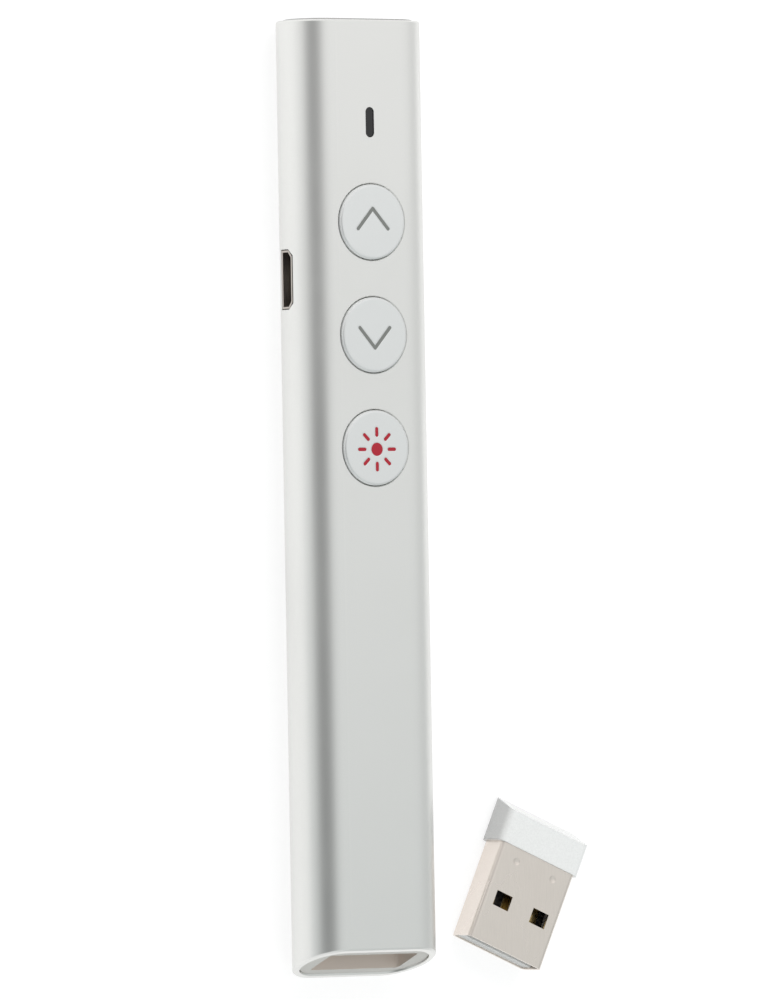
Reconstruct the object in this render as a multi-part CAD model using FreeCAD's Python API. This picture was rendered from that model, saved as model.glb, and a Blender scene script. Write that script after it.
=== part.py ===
import FreeCAD, Part
import math
import os

V = FreeCAD.Vector

# A slim wireless presentation clicker that lies on its back on a desk, buttons up, with its
# receiver plug lying beside it. Millimetres. +Y points out of the laser end, +Z is the button
# side, and the origin is the middle of the back face on the desk.

# Body tube: an extruded oval with a square nose and a slanted tail
body_width = 20.0
body_depth = 10.0
body_length = 123.0
tube_wall = 0.9
tail_angle = 20.0
rim_chamfer = 0.2

# Buttons: round caps in a row on the front
first_button_from_nose = 26.0
button_pitch = 14.5
button_hole_diameter = 9.9
button_hole_chamfer = 0.12
button_gap = 0.12
button_proud = 0.35
button_edge_round = 0.3
button_travel = 0.25
flange_overlap = 0.55
flange_thickness = 0.4
flange_gap = 0.1
cap_roof = 0.85
cap_skirt = 0.85
boss_diameter = 3.2

# Symbols let into the caps
symbol_depth = 0.12
stroke_width = 0.45
chevron_span = 4.5
chevron_rise = 2.6
chevron_shift = 0.4
dot_diameter = 1.7
ray_count = 8
ray_start = 1.6
ray_length = 1.25
ray_width = 0.45
ray_shift = -0.2

# Tact switches under the caps
switch_side = 5.2
switch_height = 1.5
switch_base_height = 0.8
switch_floor = 0.2
switch_cover_sheet = 0.1
switch_cavity_diameter = 4.2
plunger_diameter = 2.5
plunger_flange_diameter = 3.6
plunger_flange_thickness = 0.2
plunger_gap = 0.1
dome_diameter = 3.9
dome_rise = 0.28
dome_sheet = 0.06
terminal_width = 0.7
terminal_reach = 0.6
terminal_sheet = 0.15
terminal_spread = 3.0

# Indicator lens and lamp
indicator_from_nose = 13.2
indicator_length = 3.9
indicator_width = 1.25
lens_gap = 0.05
lens_recess = 0.15
lens_flange = 0.4
lens_flange_thickness = 0.4
lens_foot_length = 2.2
lamp_length = 1.6
lamp_width = 0.8
lamp_height = 0.6

# Charging socket in the left side
socket_width = 7.5
socket_height = 2.45
socket_depth = 5.6
socket_sheet = 0.25
socket_corner_cut = 0.8
socket_recess = 0.15
port_gap = 0.12
socket_tongue_width = 3.9
socket_tongue_thickness = 0.6
socket_tongue_length = 4.0
socket_contacts = 5
socket_contact_pitch = 0.65
socket_contact_width = 0.3
contact_sheet = 0.1

# Main board
board_thickness = 0.8
board_edge_gap = 0.5
board_length = 68.0
board_from_nose = 11.2
board_corner = 1.5

# Chassis tray and the strip under it
strip_thickness = 1.25
strip_width = 8.6
chassis_gap = 0.2
chassis_floor = 0.6
chassis_side_wall = 2.0
rib_length = 3.5
rib_between_last_buttons = 9.25
rib_above_first_button = 5.75
end_block = 4.2

# Board and tail screws
screw_shank_diameter = 1.1
screw_pilot_gap = 0.05
screw_head_diameter = 2.2
screw_head_height = 0.7
screw_length = 3.4
screw_from_board_edge = 2.5
board_hole_gap = 0.2
cross_width = 0.35
cross_span = 1.3
cross_depth = 0.4
tail_screw_from_plug_side = 1.6

# Battery and its leads
battery_lead_room = 13.6
battery_side_gap = 0.25
battery_thickness = 3.0
battery_gap = 0.3
battery_edge_round = 0.6
lead_diameter = 0.7
lead_spread = 3.0
battery_lead_run = 3.2
lead_bend = 0.9

# Laser module along the axis at the nose
barrel_diameter = 5.0
barrel_wall = 0.55
barrel_length = 9.0
barrel_front_gap = 0.3
cradle_gap = 0.05
driver_thickness = 0.6
driver_inset = 0.1
diode_pin_length = 0.3
diode_flange_thickness = 1.0
diode_can_diameter = 2.5
diode_can_length = 2.0
optic_gap = 0.05
spacer_wall = 0.5
laser_lens_thickness = 1.4
laser_lens_bulge = 0.3
lens_ring_length = 0.9
lens_ring_bore = 2.4
laser_lead_run = 2.2

# Nose plate
nose_plate_thickness = 1.6
nose_proud = 0.2
nose_gap = 0.05
nose_edge_round = 0.15
aperture_diameter = 3.0
aperture_flare = 0.4
window_diameter = 4.4
window_thickness = 0.9
collar_wall = 0.85
collar_length = 2.0
leg_width = 1.6
leg_height = 2.0
leg_length = 3.2
leg_from_side = 3.1
leg_gap = 0.1

# Receiver plug
plug_width = 12.0
plug_height = 4.5
plug_length = 13.2
plug_sheet = 0.3
plug_corner = 0.7
plug_window_width = 2.5
plug_window_length = 2.0
plug_window_spread = 6.0
plug_window_from_mouth = 6.0
plug_dimple_diameter = 1.0
plug_dimple_depth = 0.12
plug_dimple_from_mouth = 11.5
plug_root = 3.0
tongue_thickness = 1.9
tongue_recess = 0.2
tongue_length = 11.0
tongue_lip = 2.2
plug_contacts = 4
plug_contact_pitch = 2.3
plug_contact_width = 1.1
plug_contact_length = 6.5
plug_contact_inset = 0.3
head_width = 13.0
head_height = 4.9
head_length = 4.3
head_wall = 0.8
head_corner = 0.9
root_relief = 0.7
board_gap = 0.1
receiver_board_width = 10.2
receiver_board_thickness = 0.6
receiver_chip_length = 3.0
receiver_x = 25.3
receiver_y = -50.8
receiver_turn = -24.0

# Receiver bay in the tail
tail_gap = 0.08
tail_inset = 0.25
bay_gap = 0.15
bay_corner = 0.4
bay_mouth_corner = 0.5
plug_end_gap = 0.3
bay_end_wall = 1.6
magnet_width = 6.0
magnet_height = 3.0
magnet_thickness = 1.0
magnet_gap = 0.05

# Chips on the board
radio_side = 4.0
radio_height = 0.85
charger_length = 2.9
charger_width = 1.6
charger_height = 1.1
crystal_length = 3.2
crystal_width = 2.5
crystal_height = 0.7
passive_length = 1.0
passive_width = 0.5
passive_height = 0.35
antenna_line = 0.3
antenna_sheet = 0.05
antenna_turns = 3
antenna_reach = 3.4
antenna_pitch = 0.9

# Places worked out from the sizes above
nose_y = body_length / 2
tail_y = -body_length / 2
middle_z = body_depth / 2
flat_half = (body_width - body_depth) / 2
bore_radius = body_depth / 2 - tube_wall
tail_slope = math.tan(math.radians(tail_angle))
inner_front_z = body_depth - tube_wall
flange_top_z = inner_front_z - flange_gap
cap_bottom_z = flange_top_z - flange_thickness
cap_top_z = body_depth + button_proud
board_top_z = cap_bottom_z - switch_height
board_bottom_z = board_top_z - board_thickness
socket_z = board_bottom_z - socket_height / 2
chassis_bottom_z = tube_wall + strip_thickness
chassis_floor_z = chassis_bottom_z + chassis_floor
button_y = [nose_y - first_button_from_nose - i * button_pitch for i in range(3)]
socket_y = (button_y[0] + button_y[1]) / 2
indicator_y = nose_y - indicator_from_nose
board_nose_y = nose_y - board_from_nose
board_tail_y = board_nose_y - board_length
plate_back_y = nose_y + nose_proud - nose_plate_thickness
barrel_front_y = plate_back_y - barrel_front_gap
barrel_back_y = barrel_front_y - barrel_length
cradle_back_y = barrel_back_y - cradle_gap
collar_back_y = plate_back_y - collar_length
chassis_nose_y = collar_back_y - 2 * leg_gap
head_top_z = middle_z + head_height / 2
bay_face_at_head_y = tail_y + tail_inset + tail_slope * head_top_z
bay_shoulder_y = bay_face_at_head_y + head_length
bay_end_y = bay_shoulder_y + plug_length + plug_end_gap
chassis_tail_y = bay_end_y + bay_end_wall
mid_rib_y = button_y[2] + rib_between_last_buttons
nose_rib_y = button_y[0] + rib_above_first_button
battery_pocket_tail_y = chassis_tail_y + end_block
battery_pocket_nose_y = mid_rib_y - rib_length / 2
battery_tail_y = battery_pocket_tail_y + battery_gap
battery_nose_y = battery_pocket_nose_y - battery_lead_room


def half_width_at(radius, z):
    """Half the width of an oval of the body's flat and the given end radius, at height z."""
    return flat_half + math.sqrt(radius * radius - (z - middle_z) ** 2)


board_width = 2 * (half_width_at(bore_radius, board_top_z) - board_edge_gap)
pocket_width = 2 * (half_width_at(bore_radius - chassis_gap, chassis_floor_z) - chassis_side_wall)
battery_width = pocket_width - 2 * battery_side_gap
screw_spread = board_width - 2 * screw_from_board_edge
tail_screw_spread = plug_width - 2 * tail_screw_from_plug_side
leg_spread = body_width - 2 * leg_from_side


def block(width, length, height, middle_x, start_y, start_z):
    """A plain block, centred in x, with its low y and z faces given."""
    return Part.makeBox(width, length, height, V(middle_x - width / 2, start_y, start_z))


def post(diameter, height, x, y, start_z):
    """A round post standing along Z."""
    return Part.makeCylinder(diameter / 2, height, V(x, y, start_z), V(0, 0, 1))


def rod(diameter, length, x, start_y, z):
    """A round bar lying along Y."""
    return Part.makeCylinder(diameter / 2, length, V(x, start_y, z), V(0, 1, 0))


def oval_bar(width, depth, start_y, length):
    """A bar of flat-sided oval section along Y, centred on the body's axis."""
    radius = depth / 2
    flat = width / 2 - radius
    low, high = middle_z - radius, middle_z + radius
    edges = [
        Part.LineSegment(V(-flat, start_y, low), V(flat, start_y, low)).toShape(),
        Part.Arc(V(flat, start_y, low), V(flat + radius, start_y, middle_z), V(flat, start_y, high)).toShape(),
        Part.LineSegment(V(flat, start_y, high), V(-flat, start_y, high)).toShape(),
        Part.Arc(V(-flat, start_y, high), V(-flat - radius, start_y, middle_z), V(-flat, start_y, low)).toShape(),
    ]
    return Part.Face(Part.Wire(edges)).extrude(V(0, length, 0))


def inner_oval_bar(gap, start_y, length):
    """An oval bar that fills the tube's bore, less a gap all round."""
    taken = 2 * (tube_wall + gap)
    return oval_bar(body_width - taken, body_depth - taken, start_y, length)


def upright_slot(width, length, height, x, y, start_z):
    """A round-ended slot filler, long along Y, standing along Z."""
    run = length - width
    return post(width, height, x, y - run / 2, start_z).fuse(
        [post(width, height, x, y + run / 2, start_z), block(width, run, height, x, y - run / 2, start_z)]
    ).removeSplitter()


def rounded_bar(width, height, corner, start_y, length, z):
    """A bar along Y with a rounded rectangular section, centred at height z."""
    bar = block(width, length, height, 0, start_y, z - height / 2)
    return bar.makeFillet(corner, edges_where(bar, lambda p, e: edge_runs_along_y(e)))


def edge_runs_along_y(edge):
    """True for a straight edge along the Y axis."""
    ends = [v.Point for v in edge.Vertexes]
    return len(ends) == 2 and abs(ends[0].x - ends[1].x) < 1e-6 and abs(ends[0].z - ends[1].z) < 1e-6


def edges_where(shape, test):
    """The shape's edges whose middle point, and the edge itself, pass the test."""
    found = []
    for edge in shape.Edges:
        first, last = edge.ParameterRange
        if test(edge.valueAt((first + last) / 2), edge):
            found.append(edge)
    return found


def behind_slant(inset, length):
    """A large block that holds all that lies in front of the slanted tail plane, moved in by inset."""
    reach = body_depth * 2
    low_y = tail_y + inset - tail_slope * reach
    high_y = tail_y + inset + tail_slope * (body_depth + reach)
    corners = [V(0, low_y, -reach), V(0, high_y, body_depth + reach),
               V(0, tail_y + length, body_depth + reach), V(0, tail_y + length, -reach)]
    face = Part.Face(Part.makePolygon(corners + corners[:1]))
    face.translate(V(-body_width, 0, 0))
    return face.extrude(V(2 * body_width, 0, 0))


def oval_distance(point):
    """How far a point lies from the body's flat middle line, as the tube's radius is measured."""
    return math.hypot(max(abs(point.x) - flat_half, 0), point.z - middle_z)


def tube_path(points, bend):
    """Straight runs joined by tangent arcs of one radius, as one wire."""
    edges = []
    start = points[0]
    for before, corner, after in zip(points, points[1:], points[2:]):
        arrive = (corner - before).normalize()
        leave = (after - corner).normalize()
        turn = arrive.getAngle(leave)
        back = bend * math.tan(turn / 2)
        enter = corner - arrive * back
        exit_point = corner + leave * back
        middle_way = (leave - arrive).normalize()
        centre = corner + middle_way * (bend / math.cos(turn / 2))
        edges.append(Part.LineSegment(start, enter).toShape())
        edges.append(Part.Arc(enter, centre - middle_way * bend, exit_point).toShape())
        start = exit_point
    edges.append(Part.LineSegment(start, points[-1]).toShape())
    return Part.Wire(edges)


def wire_lead(points, diameter, bend):
    """A round insulated lead along a path of runs and arcs."""
    path = tube_path(points, bend)
    heading = (points[1] - points[0]).normalize()
    section = Part.Wire(Part.Circle(points[0], heading, diameter / 2).toShape())
    return path.makePipeShell([section], True, False)


def screw(length):
    """A small pan-head screw with a cross recess. Its head stands on z = 0 and its shank points down."""
    body = post(screw_head_diameter, screw_head_height, 0, 0, 0)
    body = body.makeFillet(screw_head_height / 3, edges_where(body, lambda p, e: p.z > screw_head_height - 1e-6
                                                              and len(e.Vertexes) == 1))
    body = body.fuse(post(screw_shank_diameter, length, 0, 0, -length))
    recess_z = screw_head_height - cross_depth
    for width, span in ((cross_width, cross_span), (cross_span, cross_width)):
        body = body.cut(block(width, span, cross_depth, 0, -span / 2, recess_z))
    return body


def save(name, *solids):
    """Writes one named piece, or a group of like solids, as a STEP file."""
    shape = solids[0] if len(solids) == 1 else Part.makeCompound(list(solids))
    shape.exportStep(os.path.join("parts", name + ".step"))


def make_body_tube():
    """The anodised oval tube: bored, slanted at the tail, with its holes and bright-cut rims."""
    tube = oval_bar(body_width, body_depth, tail_y, body_length)
    tube = tube.cut(inner_oval_bar(0, tail_y - 1, body_length + 2))
    tube = tube.common(behind_slant(0, body_length))
    for y in button_y:
        tube = tube.cut(post(button_hole_diameter, 2 * tube_wall, 0, y, inner_front_z - tube_wall / 2))
    tube = tube.cut(upright_slot(indicator_width, indicator_length, 2 * tube_wall, 0, indicator_y,
                                 inner_front_z - tube_wall / 2))
    tube = tube.cut(port_opening())
    outer = body_depth / 2

    def on_outer_rim(point, edge):
        at_nose = abs(point.y - nose_y) < 1e-6
        at_tail = abs(point.y - tail_y - tail_slope * point.z) < 1e-6
        return (at_nose or at_tail) and abs(oval_distance(point) - outer) < 1e-6

    def on_button_rim(point, edge):
        round_edge = isinstance(edge.Curve, Part.Circle)
        return round_edge and abs(edge.Curve.Radius - button_hole_diameter / 2) < 1e-6 and point.z > body_depth - 1e-6

    tube = tube.makeChamfer(rim_chamfer, edges_where(tube, on_outer_rim))
    tube = tube.makeChamfer(button_hole_chamfer, edges_where(tube, on_button_rim))
    save("body_tube", tube)


def port_opening():
    """The cutter for the socket's slot: the socket's own outline and a gap, through the left wall only."""
    outline = socket_section(socket_width + 2 * port_gap, socket_height + 2 * port_gap, socket_corner_cut)
    cutter = outline.extrude(V(body_depth / 2, 0, 0))
    cutter.translate(V(-body_width / 2 - tube_wall, socket_y, socket_z))
    return cutter


def make_buttons():
    """The three caps, each with a flange that keeps it in the tube, and the symbol let into its top."""
    symbols = {
        "button_up": chevron(1),
        "button_down": chevron(-1),
        "button_laser": laser_symbol(),
    }
    names = {"button_up": "up_chevron", "button_down": "down_chevron", "button_laser": "laser_symbol"}
    for (name, symbol), y in zip(symbols.items(), button_y):
        cap = button_cap()
        cap = cap.cut(symbol)
        cap.translate(V(0, y, 0))
        symbol.translate(V(0, y, 0))
        save(name, cap)
        save(names[name], *symbol.Solids)


def button_cap():
    """One cap at y = 0: crowned edge, hollow underneath, a centre boss and a keeping flange."""
    cap_diameter = button_hole_diameter - 2 * button_gap
    flange_diameter = button_hole_diameter + 2 * flange_overlap
    cap = post(cap_diameter, cap_top_z - cap_bottom_z, 0, 0, cap_bottom_z)
    cap = cap.makeFillet(button_edge_round, edges_where(cap, lambda p, e: p.z > cap_top_z - 1e-6
                                                        and isinstance(e.Curve, Part.Circle)))
    cap = cap.fuse(post(flange_diameter, flange_thickness, 0, 0, cap_bottom_z))
    hollow_height = cap_top_z - cap_roof - cap_bottom_z
    hollow = post(cap_diameter - 2 * cap_skirt, hollow_height, 0, 0, cap_bottom_z)
    hollow = hollow.cut(post(boss_diameter, hollow_height, 0, 0, cap_bottom_z))
    return cap.cut(hollow).removeSplitter()


def stroke(start, end, width):
    """A flat bar of the symbol from start to end with rounded ends, let into the cap's top."""
    bottom_z = cap_top_z - symbol_depth
    run = end - start
    bar = Part.makeBox(run.Length, width, symbol_depth, V(0, -width / 2, bottom_z))
    bar.rotate(V(0, 0, 0), V(0, 0, 1), math.degrees(math.atan2(run.y, run.x)))
    bar.translate(V(start.x, start.y, 0))
    ends = [post(width, symbol_depth, p.x, p.y, bottom_z) for p in (start, end)]
    return bar.fuse(ends).removeSplitter()


def chevron(way):
    """An open arrow head that points to the nose (way 1) or to the tail (way -1)."""
    tip = V(0, way * (chevron_shift + chevron_rise / 2), 0)
    foot_y = way * (chevron_shift - chevron_rise / 2)
    arms = [stroke(V(side * chevron_span / 2, foot_y, 0), tip, stroke_width) for side in (-1, 1)]
    return arms[0].fuse(arms[1]).removeSplitter()


def laser_symbol():
    """A dot with rays all round."""
    bottom_z = cap_top_z - symbol_depth
    parts = [post(dot_diameter, symbol_depth, 0, ray_shift, bottom_z)]
    for i in range(ray_count):
        angle = math.radians(360 / ray_count * i)
        heading = V(math.cos(angle), math.sin(angle), 0)
        start = heading * (ray_start + ray_width / 2) + V(0, ray_shift, 0)
        end = heading * (ray_start + ray_length - ray_width / 2) + V(0, ray_shift, 0)
        parts.append(stroke(start, end, ray_width))
    return Part.makeCompound(parts)


def make_switches():
    """A tact switch under each cap: base, snap dome, plunger and cover plate, with soldered terminals."""
    base_top_z = board_top_z + switch_base_height
    floor_z = board_top_z + switch_floor
    flange_top = base_top_z - plunger_gap / 2
    flange_low = flange_top - plunger_flange_thickness
    terminals = []
    for name, y in zip(("up", "down", "laser"), button_y):
        base = block(switch_side, switch_side, switch_base_height, 0, y - switch_side / 2, board_top_z)
        base = base.cut(post(switch_cavity_diameter, switch_base_height, 0, y, floor_z))
        save("switch_base_" + name, base)
        cover = block(switch_side, switch_side, switch_cover_sheet, 0, y - switch_side / 2, base_top_z)
        cover = cover.cut(post(plunger_diameter + 2 * plunger_gap, 1, 0, y, base_top_z - 0.5))
        save("switch_cover_" + name, cover)
        plunger = post(plunger_diameter, cap_bottom_z - flange_low, 0, y, flange_low)
        plunger = plunger.fuse(post(plunger_flange_diameter, plunger_flange_thickness, 0, y, flange_low))
        save("switch_plunger_" + name, plunger.removeSplitter())
        save("switch_dome_" + name, snap_dome(y, floor_z))
        for side in (-1, 1):
            for end in (-1, 1):
                terminals.append(terminal(side, y + end * terminal_spread / 2))
    save("switch_terminals", *terminals)


def snap_dome(y, floor_z):
    """A thin spherical snap dome that stands on the switch's floor."""
    half = dome_diameter / 2
    radius = (half * half + dome_rise * dome_rise) / (2 * dome_rise)
    centre = V(0, y, floor_z + dome_rise - radius)
    shell = Part.makeSphere(radius, centre).cut(Part.makeSphere(radius - dome_sheet, centre))
    return shell.common(post(2 * dome_diameter, dome_rise + 1, 0, y, floor_z))


def terminal(side, y):
    """A flat terminal that leaves the switch's side and lies on the board."""
    x = side * (switch_side + terminal_reach) / 2
    return block(terminal_reach, terminal_width, terminal_sheet, x, y - terminal_width / 2, board_top_z)


def make_indicator():
    """The smoked lens in its slot, with a flange inside the tube and a foot over the lamp."""
    lens_width = indicator_width - 2 * lens_gap
    lens_length = indicator_length - 2 * lens_gap
    flange_z = inner_front_z - lens_flange_thickness
    lamp_top_z = board_top_z + lamp_height
    lens_height = body_depth - lens_recess - inner_front_z
    lens = upright_slot(lens_width, lens_length, lens_height, 0, indicator_y, inner_front_z)
    lens = lens.fuse(upright_slot(lens_width + 2 * lens_flange, lens_length + 2 * lens_flange,
                                  lens_flange_thickness, 0, indicator_y, flange_z))
    foot_height = flange_z - lamp_top_z - lens_gap
    foot_y = indicator_y - lens_foot_length / 2
    lens = lens.fuse(block(lens_width, lens_foot_length, foot_height, 0, foot_y, lamp_top_z + lens_gap))
    save("indicator_lens", lens.removeSplitter())
    save("indicator_lamp", block(lamp_width, lamp_length, lamp_height, 0, indicator_y - lamp_length / 2,
                                 board_top_z))


def socket_section(width, height, cut):
    """The socket's D-like section in the YZ plane: two corners cut on the board side."""
    half = width / 2
    top, bottom = height / 2, -height / 2
    corners = [V(0, -half, bottom), V(0, half, bottom), V(0, half, top - cut), V(0, half - cut, top),
               V(0, -half + cut, top), V(0, -half, top - cut)]
    return Part.Face(Part.makePolygon(corners + corners[:1]))


def make_charge_socket():
    """The charging socket: folded steel shell, plastic tongue and contacts, open to the left."""
    mouth_x = -body_width / 2 + socket_recess
    shell = socket_section(socket_width, socket_height, socket_corner_cut).extrude(V(socket_depth, 0, 0))
    inner_width = socket_width - 2 * socket_sheet
    inner_height = socket_height - 2 * socket_sheet
    bore = socket_section(inner_width, inner_height, socket_corner_cut - socket_sheet / 2)
    bore = bore.extrude(V(socket_depth - socket_sheet, 0, 0))
    shell = shell.cut(bore)
    shell.translate(V(mouth_x, socket_y, socket_z))
    save("charge_socket_shell", shell)
    back_x = mouth_x + socket_depth - socket_sheet
    tongue_z = socket_z + inner_height / 2 - 2 * socket_tongue_thickness
    tongue = Part.makeBox(socket_tongue_length, socket_tongue_width, socket_tongue_thickness,
                          V(back_x - socket_tongue_length, socket_y - socket_tongue_width / 2, tongue_z))
    save("charge_socket_tongue", tongue)
    strips = []
    first_y = socket_y - (socket_contacts - 1) * socket_contact_pitch / 2
    for i in range(socket_contacts):
        y = first_y + i * socket_contact_pitch - socket_contact_width / 2
        length = socket_tongue_length - 0.4
        strips.append(Part.makeBox(length, socket_contact_width, contact_sheet,
                                   V(back_x - length, y, tongue_z - contact_sheet)))
    save("charge_socket_contacts", *strips)


def board_screw_places():
    """The four board screws: two on each cross rib."""
    return [(side * screw_spread / 2, y) for y in (mid_rib_y, nose_rib_y) for side in (-1, 1)]


def make_main_board():
    """The main board with rounded corners and its screw holes."""
    board = block(board_width, board_length, board_thickness, 0, board_tail_y, board_bottom_z)

    def upright(point, edge):
        ends = [v.Point for v in edge.Vertexes]
        return abs(ends[0].z - ends[1].z) > board_thickness / 2

    board = board.makeFillet(board_corner, edges_where(board, upright))
    hole = screw_shank_diameter + 2 * board_hole_gap
    for x, y in board_screw_places():
        board = board.cut(post(hole, 2 * board_thickness, x, y, board_bottom_z - board_thickness / 2))
    save("main_board", board)
    screws = []
    for x, y in board_screw_places():
        one = screw(screw_length)
        one.translate(V(x, y, board_top_z))
        screws.append(one)
    save("board_screws", *screws)


def make_board_parts():
    """Radio chip, crystal, charger chip, passives and the printed antenna."""
    gap_y = (button_y[1] + button_y[2]) / 2
    chip_y = board_tail_y + 2 * radio_side
    save("radio_chip", block(radio_side, radio_side, radio_height, 0, chip_y - radio_side / 2, board_top_z))
    crystal_x = board_width / 2 - crystal_width
    save("radio_crystal", block(crystal_width, crystal_length, crystal_height, crystal_x,
                                chip_y - crystal_length / 2, board_top_z))
    charger_x = -screw_spread / 4 + board_width / 4
    save("charger_chip", block(charger_length, charger_width, charger_height, charger_x,
                               socket_y - charger_width / 2, board_bottom_z - charger_height))
    passives = []
    for i in range(6):
        y = board_tail_y + radio_side / 2 + i * 3 * passive_length
        passives.append(block(passive_width, passive_length, passive_height, -board_width / 3, y, board_top_z))
    for side in (-1, 1):
        x = side * passive_length * 2
        passives.append(block(passive_width, passive_length, passive_height, x, gap_y, board_top_z))
    save("board_passives", *passives)
    save("board_antenna", antenna())


def antenna():
    """A meander of copper on the board beside the indicator lamp."""
    start_x = board_width / 2 - board_corner - antenna_reach
    start_y = board_nose_y - board_corner - antenna_turns * 2 * antenna_pitch
    line = None
    for i in range(2 * antenna_turns):
        y = start_y + i * antenna_pitch
        run = block(antenna_reach, antenna_line, antenna_sheet, start_x + antenna_reach / 2, y, board_top_z)
        side_x = start_x + (antenna_reach - antenna_line if i % 2 else 0) + antenna_line / 2
        link = block(antenna_line, antenna_pitch, antenna_sheet, side_x, y, board_top_z)
        line = run.fuse(link) if line is None else line.fuse([run, link])
    return line.removeSplitter()


def make_chassis():
    """The tray that carries board, battery and laser, and the strip that lifts it against the front."""
    length = chassis_nose_y - chassis_tail_y
    tray = inner_oval_bar(chassis_gap, chassis_tail_y, length)
    tray = tray.common(block(body_width, length, board_bottom_z - chassis_bottom_z, 0, chassis_tail_y,
                             chassis_bottom_z))
    deep = body_depth
    pockets = [
        (battery_pocket_tail_y, battery_pocket_nose_y),
        (mid_rib_y + rib_length / 2, nose_rib_y - rib_length / 2),
        (nose_rib_y + rib_length / 2, cradle_back_y),
    ]
    for start, end in pockets:
        tray = tray.cut(block(pocket_width, end - start, deep, 0, start, chassis_floor_z))
    port_width = socket_width + 2 * port_gap
    tray = tray.cut(Part.makeBox(body_width, port_width, deep,
                                 V(-body_width, socket_y - port_width / 2, socket_z - socket_height / 2 - port_gap)))
    cradle = barrel_diameter + 2 * cradle_gap
    tray = tray.cut(rod(cradle, length, 0, cradle_back_y, middle_z))
    tray = tray.cut(block(cradle, length, deep, 0, cradle_back_y, middle_z))
    for side in (-1, 1):
        tray = tray.cut(block(leg_width + 2 * leg_gap, leg_length + leg_gap, leg_height + 2 * leg_gap,
                              side * leg_spread / 2, collar_back_y - leg_length + collar_length - leg_gap,
                              middle_z - leg_height / 2 - leg_gap))
        pilot = screw_shank_diameter + 2 * screw_pilot_gap
        tray = tray.cut(rod(pilot, end_block - 0.5, side * tail_screw_spread / 2, chassis_tail_y, middle_z))
    for x, y in board_screw_places():
        depth = screw_length - board_thickness + 0.3
        tray = tray.cut(post(pilot, depth, x, y, board_bottom_z - depth))
    save("chassis", tray)
    strip_nose_y = cradle_back_y
    save("lift_strip", block(strip_width, strip_nose_y - chassis_tail_y, strip_thickness, 0, chassis_tail_y,
                             tube_wall))


def make_battery():
    """The flat pouch cell in its pocket, and the two leads from its nose end up to the board."""
    battery_length = battery_nose_y - battery_tail_y
    cell = block(battery_width, battery_length, battery_thickness, 0, battery_tail_y, chassis_floor_z)
    cell = cell.makeFillet(battery_edge_round, edges_where(cell, lambda p, e: edge_runs_along_y(e)))
    save("battery_cell", cell)
    start_z = chassis_floor_z + battery_thickness / 2
    for name, side in (("battery_lead_red", 1), ("battery_lead_black", -1)):
        x = side * lead_spread / 2
        points = [V(x, battery_nose_y, start_z), V(x, battery_nose_y + battery_lead_run, start_z),
                  V(x, battery_nose_y + battery_lead_run, board_bottom_z)]
        save(name, wire_lead(points, lead_diameter, lead_bend))


def make_laser():
    """The laser module: barrel, driver disc, diode, spacer, lens and slotted ring, and its two leads."""
    bore = barrel_diameter - 2 * barrel_wall
    barrel = rod(barrel_diameter, barrel_length, 0, barrel_back_y, middle_z)
    barrel = barrel.cut(rod(bore, barrel_length + 2, 0, barrel_back_y - 1, middle_z))
    save("laser_barrel", barrel)
    snug = bore - 2 * optic_gap
    driver_y = barrel_back_y + driver_inset
    save("laser_driver_board", rod(snug, driver_thickness, 0, driver_y, middle_z))
    pin_y = driver_y + driver_thickness
    flange_y = pin_y + diode_pin_length
    diode = rod(snug, diode_flange_thickness, 0, flange_y, middle_z)
    can_y = flange_y + diode_flange_thickness
    diode = diode.fuse(rod(diode_can_diameter, diode_can_length, 0, can_y, middle_z))
    for side in (-1, 1):
        diode = diode.fuse(rod(0.4, diode_pin_length, side * 0.7, pin_y, middle_z))
    save("laser_diode", diode.removeSplitter())
    ring_y = barrel_front_y - lens_ring_length - 0.1
    ring = rod(snug, lens_ring_length, 0, ring_y, middle_z)
    ring = ring.cut(rod(lens_ring_bore, lens_ring_length + 1, 0, ring_y - 0.5, middle_z))
    ring = ring.cut(block(snug, 0.4, 0.5, 0, ring_y + lens_ring_length - 0.4, middle_z - 0.25))
    save("laser_lens_ring", ring)
    lens_y = ring_y - laser_lens_thickness
    save("laser_lens", bulged_lens(snug, lens_y))
    spacer = rod(snug, lens_y - can_y, 0, can_y, middle_z)
    save("laser_spacer", spacer.cut(rod(snug - 2 * spacer_wall, lens_y, 0, can_y, middle_z)))
    lead_z = middle_z - 0.8
    for name, side in (("laser_lead_red", 1), ("laser_lead_black", -1)):
        x = side * 0.8
        bend_y = driver_y - laser_lead_run
        points = [V(x, driver_y, lead_z), V(x, bend_y, lead_z), V(x, bend_y, board_bottom_z)]
        save(name, wire_lead(points, lead_diameter, lead_bend))


def bulged_lens(diameter, start_y):
    """A small lens: a disc whose front bulges into the ring's bore."""
    half = lens_ring_bore / 2 - optic_gap
    radius = (half * half + laser_lens_bulge * laser_lens_bulge) / (2 * laser_lens_bulge)
    disc = rod(diameter, laser_lens_thickness, 0, start_y, middle_z)
    front_y = start_y + laser_lens_thickness
    ball = Part.makeSphere(radius, V(0, front_y + laser_lens_bulge - radius, middle_z))
    bulge = ball.common(rod(2 * half, laser_lens_bulge, 0, front_y, middle_z))
    return disc.fuse(bulge).removeSplitter()


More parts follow.
